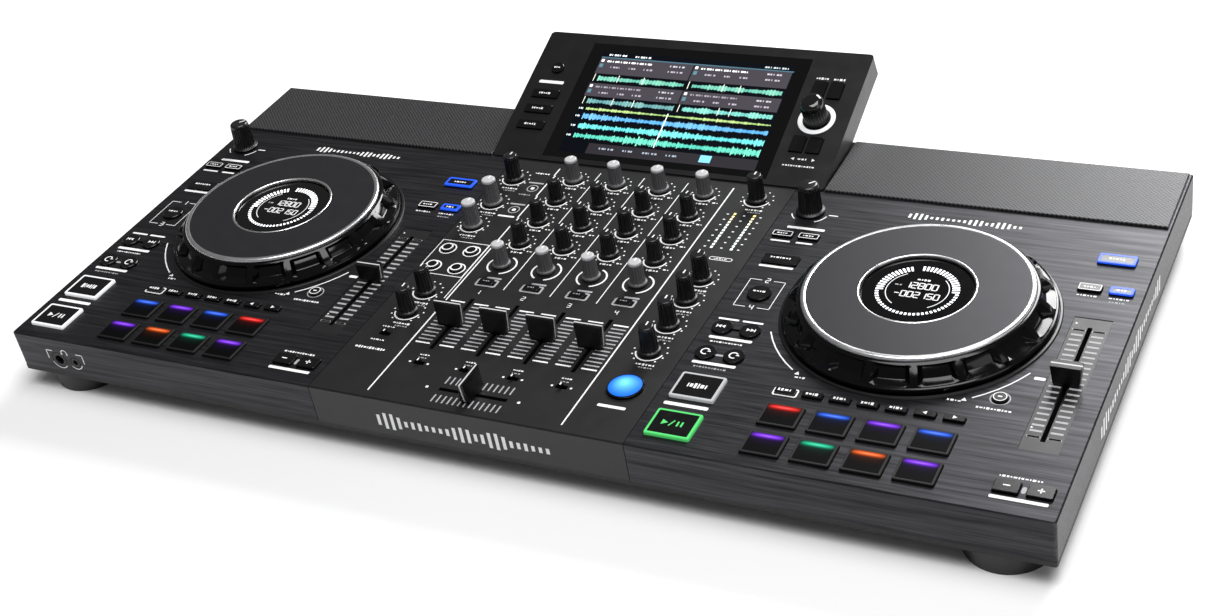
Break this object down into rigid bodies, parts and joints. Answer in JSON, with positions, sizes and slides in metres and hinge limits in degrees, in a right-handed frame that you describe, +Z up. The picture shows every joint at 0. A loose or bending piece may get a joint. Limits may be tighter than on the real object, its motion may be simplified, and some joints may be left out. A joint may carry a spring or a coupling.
{
  "type": "dj controller",
  "caption": "Standalone DJ controller: jog-wheel decks either side of a knob-and-fader mixer, with performance pads and a tilted touchscreen over the rear edge.",
  "frame": {"origin": "centre of the overall box in plan, on the surface that the feet stand on", "axes": "+X to the performer's right along the width, +Y away from the performer, +Z up"},
  "size_m": [0.658, 0.3658, 0.0814],
  "materials": {
    "tray_coat": "matte powder coat",
    "brushed_dark_aluminium": "brushed, dark anodised",
    "black_powder_coat": "satin powder coat",
    "perforated_steel": "fine perforated, satin coat",
    "housing_plastic": "fine texture",
    "screen_glass": "gloss black behind glass",
    "foot_rubber": "matte",
    "screw_steel": "zinc plated",
    "socket_metal": "nickel plated",
    "circuit_board": "solder mask",
    "speaker_parts": "black frame and paper cone",
    "jog_black": "gloss skirt, matte top plate, bright rings",
    "fader_black": "satin",
    "pad_rubber": "matte silicone",
    "key_black": "satin, lit legends",
    "knob_black": "soft touch",
    "knob_grey": "soft touch"
  },
  "bodies": {
    "casing": {"base_tray": "tray_coat", "deck_plates": "brushed_dark_aluminium", "mixer_plate": "black_powder_coat", "speaker_grilles": "perforated_steel", "display_housing": "housing_plastic", "screens": "screen_glass", "rubber_feet": "foot_rubber", "case_screws": "screw_steel", "sockets": "socket_metal", "control_boards": "circuit_board", "speaker_drivers": "speaker_parts"},
    "jog_wheel_left": {"jog_wheel_left": "jog_black"},
    "jog_wheel_right": {"jog_wheel_right": "jog_black"},
    "crossfader": {"crossfader": "fader_black"},
    "line_fader_1": {"line_fader_1": "fader_black"},
    "line_fader_2": {"line_fader_2": "fader_black"},
    "line_fader_3": {"line_fader_3": "fader_black"},
    "line_fader_4": {"line_fader_4": "fader_black"},
    "pitch_fader_left": {"pitch_fader_left": "fader_black"},
    "pitch_fader_right": {"pitch_fader_right": "fader_black"},
    "pads_left": {"pads_left": "pad_rubber"},
    "pads_right": {"pads_right": "pad_rubber"},
    "transport_buttons": {"transport_buttons": "key_black"},
    "deck_buttons": {"deck_buttons": "key_black"},
    "mixer_buttons": {"mixer_buttons": "key_black"},
    "display_buttons": {"display_buttons": "key_black"},
    "assign_switches": {"assign_switches": "key_black"},
    "knob_browse": {"knob_browse": "knob_black"},
    "knob_sweep_left": {"knob_sweep_left": "knob_black"},
    "knob_sweep_right": {"knob_sweep_right": "knob_black"},
    "knob_mic_1": {"knob_mic_1": "knob_black"},
    "knob_mic_2": {"knob_mic_2": "knob_grey"},
    "knob_mic_echo": {"knob_mic_echo": "knob_grey"},
    "knob_cue_mix": {"knob_cue_mix": "knob_black"},
    "knob_cue_level": {"knob_cue_level": "knob_black"},
    "knob_master": {"knob_master": "knob_black"},
    "knob_booth": {"knob_booth": "knob_black"},
    "knob_effect_select": {"knob_effect_select": "knob_black"},
    "knob_effect_time": {"knob_effect_time": "knob_black"},
    "knob_effect_depth": {"knob_effect_depth": "knob_black"},
    "knob_filter_1": {"knob_filter_1": "knob_grey"},
    "knob_filter_2": {"knob_filter_2": "knob_grey"},
    "knob_filter_3": {"knob_filter_3": "knob_grey"},
    "knob_filter_4": {"knob_filter_4": "knob_grey"},
    "knob_low_1": {"knob_low_1": "knob_black"},
    "knob_low_2": {"knob_low_2": "knob_black"},
    "knob_low_3": {"knob_low_3": "knob_black"},
    "knob_low_4": {"knob_low_4": "knob_black"},
    "knob_mid_1": {"knob_mid_1": "knob_black"},
    "knob_mid_2": {"knob_mid_2": "knob_black"},
    "knob_mid_3": {"knob_mid_3": "knob_black"},
    "knob_mid_4": {"knob_mid_4": "knob_black"},
    "knob_high_1": {"knob_high_1": "knob_black"},
    "knob_high_2": {"knob_high_2": "knob_black"},
    "knob_high_3": {"knob_high_3": "knob_black"},
    "knob_high_4": {"knob_high_4": "knob_black"},
    "knob_gain_1": {"knob_gain_1": "knob_grey"},
    "knob_gain_2": {"knob_gain_2": "knob_grey"},
    "knob_gain_3": {"knob_gain_3": "knob_grey"},
    "knob_gain_4": {"knob_gain_4": "knob_grey"}
  },
  "joints": [
    {"name": "jog_wheel_left_turn", "type": "hinge", "parent": "casing", "child": "jog_wheel_left", "pos_m": [-0.2149, -0.03606, 0.05], "axis": [0, 0, 1], "continuous": true},
    {"name": "jog_wheel_right_turn", "type": "hinge", "parent": "casing", "child": "jog_wheel_right", "pos_m": [0.2149, -0.03606, 0.05], "axis": [0, 0, 1], "continuous": true},
    {"name": "crossfader_slide", "type": "slide", "parent": "casing", "child": "crossfader", "axis": [1, 0, 0], "range_m": [-0.019, 0.019]},
    {"name": "line_fader_1_slide", "type": "slide", "parent": "casing", "child": "line_fader_1", "axis": [0, 1, 0], "range_m": [-0.0225, 0.0225]},
    {"name": "line_fader_2_slide", "type": "slide", "parent": "casing", "child": "line_fader_2", "axis": [0, 1, 0], "range_m": [-0.0225, 0.0225]},
    {"name": "line_fader_3_slide", "type": "slide", "parent": "casing", "child": "line_fader_3", "axis": [0, 1, 0], "range_m": [-0.0225, 0.0225]},
    {"name": "line_fader_4_slide", "type": "slide", "parent": "casing", "child": "line_fader_4", "axis": [0, 1, 0], "range_m": [-0.0225, 0.0225]},
    {"name": "pitch_fader_left_slide", "type": "slide", "parent": "casing", "child": "pitch_fader_left", "axis": [0, 1, 0], "range_m": [-0.0458, 0.0458]},
    {"name": "pitch_fader_right_slide", "type": "slide", "parent": "casing", "child": "pitch_fader_right", "axis": [0, 1, 0], "range_m": [-0.0458, 0.0458]},
    {"name": "pads_left_press", "type": "slide", "parent": "casing", "child": "pads_left", "axis": [0, 0, -1], "range_m": [0, 0.0012], "stiffness_N_per_m": 900, "springref_m": -0.001},
    {"name": "pads_right_press", "type": "slide", "parent": "casing", "child": "pads_right", "axis": [0, 0, -1], "range_m": [0, 0.0012], "stiffness_N_per_m": 900, "springref_m": -0.001},
    {"name": "transport_buttons_press", "type": "slide", "parent": "casing", "child": "transport_buttons", "axis": [0, 0, -1], "range_m": [0, 0.0012], "stiffness_N_per_m": 900, "springref_m": -0.001},
    {"name": "deck_buttons_press", "type": "slide", "parent": "casing", "child": "deck_buttons", "axis": [0, 0, -1], "range_m": [0, 0.0012], "stiffness_N_per_m": 900, "springref_m": -0.001},
    {"name": "mixer_buttons_press", "type": "slide", "parent": "casing", "child": "mixer_buttons", "axis": [0, 0, -1], "range_m": [0, 0.0012], "stiffness_N_per_m": 900, "springref_m": -0.001},
    {"name": "display_buttons_press", "type": "slide", "parent": "casing", "child": "display_buttons", "axis": [0, 0.342, -0.9397], "range_m": [0, 0.0012], "stiffness_N_per_m": 900, "springref_m": -0.001},
    {"name": "assign_switches_slide", "type": "slide", "parent": "casing", "child": "assign_switches", "axis": [1, 0, 0], "range_m": [-0.002, 0.002]},
    {"name": "knob_browse_turn", "type": "hinge", "parent": "casing", "child": "knob_browse", "pos_m": [0.097, 0.12382, 0.06181], "axis": [0, -0.342, 0.9397], "continuous": true},
    {"name": "knob_sweep_left_turn", "type": "hinge", "parent": "casing", "child": "knob_sweep_left", "pos_m": [-0.3104, 0.04864, 0.05], "axis": [0, 0, 1], "range_deg": [-150, 150]},
    {"name": "knob_sweep_right_turn", "type": "hinge", "parent": "casing", "child": "knob_sweep_right", "pos_m": [0.1194, 0.04864, 0.05], "axis": [0, 0, 1], "range_deg": [-150, 150]},
    {"name": "knob_mic_1_turn", "type": "hinge", "parent": "casing", "child": "knob_mic_1", "pos_m": [-0.0885, 0.04814, 0.05], "axis": [0, 0, 1], "range_deg": [-150, 150]},
    {"name": "knob_mic_2_turn", "type": "hinge", "parent": "casing", "child": "knob_mic_2", "pos_m": [-0.0885, 0.01814, 0.05], "axis": [0, 0, 1], "range_deg": [-150, 150]},
    {"name": "knob_mic_echo_turn", "type": "hinge", "parent": "casing", "child": "knob_mic_echo", "pos_m": [-0.0885, -0.00886, 0.05], "axis": [0, 0, 1], "range_deg": [-150, 150]},
    {"name": "knob_cue_mix_turn", "type": "hinge", "parent": "casing", "child": "knob_cue_mix", "pos_m": [-0.0805, -0.08186, 0.05], "axis": [0, 0, 1], "range_deg": [-150, 150]},
    {"name": "knob_cue_level_turn", "type": "hinge", "parent": "casing", "child": "knob_cue_level", "pos_m": [-0.0805, -0.10336, 0.05], "axis": [0, 0, 1], "range_deg": [-150, 150]},
    {"name": "knob_master_turn", "type": "hinge", "parent": "casing", "child": "knob_master", "pos_m": [0.0815, 0.05514, 0.05], "axis": [0, 0, 1], "range_deg": [-150, 150]},
    {"name": "knob_booth_turn", "type": "hinge", "parent": "casing", "child": "knob_booth", "pos_m": [0.0815, -0.03236, 0.05], "axis": [0, 0, 1], "range_deg": [-150, 150]},
    {"name": "knob_effect_select_turn", "type": "hinge", "parent": "casing", "child": "knob_effect_select", "pos_m": [0.0815, -0.05386, 0.05], "axis": [0, 0, 1], "continuous": true},
    {"name": "knob_effect_time_turn", "type": "hinge", "parent": "casing", "child": "knob_effect_time", "pos_m": [0.0815, -0.07936, 0.05], "axis": [0, 0, 1], "range_deg": [-150, 150]},
    {"name": "knob_effect_depth_turn", "type": "hinge", "parent": "casing", "child": "knob_effect_depth", "pos_m": [0.0815, -0.10536, 0.05], "axis": [0, 0, 1], "range_deg": [-150, 150]},
    {"name": "knob_filter_1_turn", "type": "hinge", "parent": "casing", "child": "knob_filter_1", "pos_m": [-0.047, -0.04586, 0.05], "axis": [0, 0, 1], "range_deg": [-150, 150]},
    {"name": "knob_filter_2_turn", "type": "hinge", "parent": "casing", "child": "knob_filter_2", "pos_m": [-0.01594, -0.04586, 0.05], "axis": [0, 0, 1], "range_deg": [-150, 150]},
    {"name": "knob_filter_3_turn", "type": "hinge", "parent": "casing", "child": "knob_filter_3", "pos_m": [0.01513, -0.04586, 0.05], "axis": [0, 0, 1], "range_deg": [-150, 150]},
    {"name": "knob_filter_4_turn", "type": "hinge", "parent": "casing", "child": "knob_filter_4", "pos_m": [0.04621, -0.04586, 0.05], "axis": [0, 0, 1], "range_deg": [-150, 150]},
    {"name": "knob_low_1_turn", "type": "hinge", "parent": "casing", "child": "knob_low_1", "pos_m": [-0.047, -0.02086, 0.05], "axis": [0, 0, 1], "range_deg": [-150, 150]},
    {"name": "knob_low_2_turn", "type": "hinge", "parent": "casing", "child": "knob_low_2", "pos_m": [-0.01594, -0.02086, 0.05], "axis": [0, 0, 1], "range_deg": [-150, 150]},
    {"name": "knob_low_3_turn", "type": "hinge", "parent": "casing", "child": "knob_low_3", "pos_m": [0.01513, -0.02086, 0.05], "axis": [0, 0, 1], "range_deg": [-150, 150]},
    {"name": "knob_low_4_turn", "type": "hinge", "parent": "casing", "child": "knob_low_4", "pos_m": [0.04621, -0.02086, 0.05], "axis": [0, 0, 1], "range_deg": [-150, 150]},
    {"name": "knob_mid_1_turn", "type": "hinge", "parent": "casing", "child": "knob_mid_1", "pos_m": [-0.047, 0.00414, 0.05], "axis": [0, 0, 1], "range_deg": [-150, 150]},
    {"name": "knob_mid_2_turn", "type": "hinge", "parent": "casing", "child": "knob_mid_2", "pos_m": [-0.01594, 0.00414, 0.05], "axis": [0, 0, 1], "range_deg": [-150, 150]},
    {"name": "knob_mid_3_turn", "type": "hinge", "parent": "casing", "child": "knob_mid_3", "pos_m": [0.01513, 0.00414, 0.05], "axis": [0, 0, 1], "range_deg": [-150, 150]},
    {"name": "knob_mid_4_turn", "type": "hinge", "parent": "casing", "child": "knob_mid_4", "pos_m": [0.04621, 0.00414, 0.05], "axis": [0, 0, 1], "range_deg": [-150, 150]},
    {"name": "knob_high_1_turn", "type": "hinge", "parent": "casing", "child": "knob_high_1", "pos_m": [-0.047, 0.02914, 0.05], "axis": [0, 0, 1], "range_deg": [-150, 150]},
    {"name": "knob_high_2_turn", "type": "hinge", "parent": "casing", "child": "knob_high_2", "pos_m": [-0.01594, 0.02914, 0.05], "axis": [0, 0, 1], "range_deg": [-150, 150]},
    {"name": "knob_high_3_turn", "type": "hinge", "parent": "casing", "child": "knob_high_3", "pos_m": [0.01513, 0.02914, 0.05], "axis": [0, 0, 1], "range_deg": [-150, 150]},
    {"name": "knob_high_4_turn", "type": "hinge", "parent": "casing", "child": "knob_high_4", "pos_m": [0.04621, 0.02914, 0.05], "axis": [0, 0, 1], "range_deg": [-150, 150]},
    {"name": "knob_gain_1_turn", "type": "hinge", "parent": "casing", "child": "knob_gain_1", "pos_m": [-0.047, 0.05414, 0.05], "axis": [0, 0, 1], "range_deg": [-150, 150]},
    {"name": "knob_gain_2_turn", "type": "hinge", "parent": "casing", "child": "knob_gain_2", "pos_m": [-0.01594, 0.05414, 0.05], "axis": [0, 0, 1], "range_deg": [-150, 150]},
    {"name": "knob_gain_3_turn", "type": "hinge", "parent": "casing", "child": "knob_gain_3", "pos_m": [0.01513, 0.05414, 0.05], "axis": [0, 0, 1], "range_deg": [-150, 150]},
    {"name": "knob_gain_4_turn", "type": "hinge", "parent": "casing", "child": "knob_gain_4", "pos_m": [0.04621, 0.05414, 0.05], "axis": [0, 0, 1], "range_deg": [-150, 150]}
  ]
}
